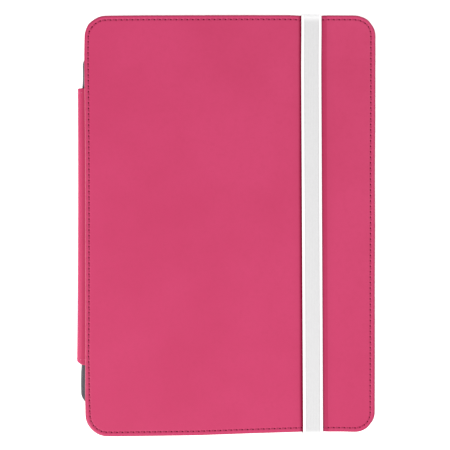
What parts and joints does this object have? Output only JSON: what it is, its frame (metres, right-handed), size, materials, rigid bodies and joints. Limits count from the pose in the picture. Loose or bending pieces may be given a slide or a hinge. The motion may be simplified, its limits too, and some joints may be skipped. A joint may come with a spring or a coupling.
{
  "type": "tablet case",
  "caption": "Book-style case for an eight-inch tablet: stitched leather-like covers on a turning spine, a snap-in tray and an elastic strap that holds it shut",
  "frame": {"origin": "centre of the bounding box's base, on the face the closed case lies on", "axes": "+X from the spine to the free edge of the covers, +Y along the case towards its top end, +Z out of the front cover"},
  "size_m": [0.1468, 0.2084, 0.0189],
  "materials": {
    "front_leather": "fine matt grain",
    "back_leather": "fine matt grain",
    "spine_leather": "fine matt grain",
    "rear_flap_leather": "fine matt grain",
    "front_flap_leather": "fine matt grain",
    "back_thread_polyester": "twisted thread",
    "front_thread_polyester": "twisted thread",
    "back_grey_board": "pressed paper board",
    "front_grey_board": "pressed paper board",
    "spine_grey_board": "pressed paper board",
    "back_microfibre": "short nap",
    "front_microfibre": "short nap",
    "spine_microfibre": "short nap",
    "tray_polycarbonate": "satin",
    "adhesive_foam": "matt",
    "nickel_plated_magnet": "plated",
    "elastic_tail_top": "ribbed weave",
    "elastic_tail_bottom": "ribbed weave",
    "elastic_leg_top": "ribbed weave",
    "elastic_leg_bottom": "ribbed weave",
    "elastic_run": "ribbed weave"
  },
  "bodies": {
    "back": {"back_cover_skin": "back_leather", "back_cover_board": "back_grey_board", "back_cover_lining": "back_microfibre", "back_cover_thread": "back_thread_polyester", "tray": "tray_polycarbonate", "tray_adhesive_pad": "adhesive_foam", "rear_hinge_flap": "rear_flap_leather", "strap_tail_top": "elastic_tail_top", "strap_tail_bottom": "elastic_tail_bottom"},
    "spine": {"spine_skin": "spine_leather", "spine_board": "spine_grey_board", "spine_liner": "spine_microfibre"},
    "front_cover": {"front_cover_skin": "front_leather", "front_cover_board": "front_grey_board", "front_cover_lining": "front_microfibre", "front_cover_thread": "front_thread_polyester", "front_hinge_flap": "front_flap_leather", "cover_magnet_1": "nickel_plated_magnet", "cover_magnet_2": "nickel_plated_magnet", "cover_magnet_3": "nickel_plated_magnet", "cover_magnet_4": "nickel_plated_magnet"},
    "strap_legs": {"strap_leg_top": "elastic_leg_top", "strap_leg_bottom": "elastic_leg_bottom"},
    "strap_run": {"strap_front_run": "elastic_run"}
  },
  "joints": [
    {"name": "spine_hinge", "type": "hinge", "parent": "back", "child": "spine", "pos_m": [-0.0727, 0, 0.00395], "axis": [0, -1, 0], "range_deg": [0, 178]},
    {"name": "cover_hinge", "type": "hinge", "parent": "spine", "child": "front_cover", "pos_m": [-0.0727, 0, 0.01385], "axis": [0, -1, 0], "range_deg": [0, 178]},
    {"name": "strap_swing", "type": "hinge", "parent": "back", "child": "strap_legs", "pos_m": [0.0423, 0, 0.0017], "axis": [0, 1, 0], "range_deg": [0, 180], "deforming": ["strap_front_run"]},
    {"name": "strap_take_up", "type": "slide", "parent": "strap_legs", "child": "strap_run", "axis": [0, 0, 1], "range_m": [-0.0145, 0], "deforming": ["strap_leg_top", "strap_leg_bottom"]}
  ],
  "couplings": [
    {"joint": "strap_take_up", "follows": "strap_swing", "m_per_rad": -0.0045837}
  ]
}
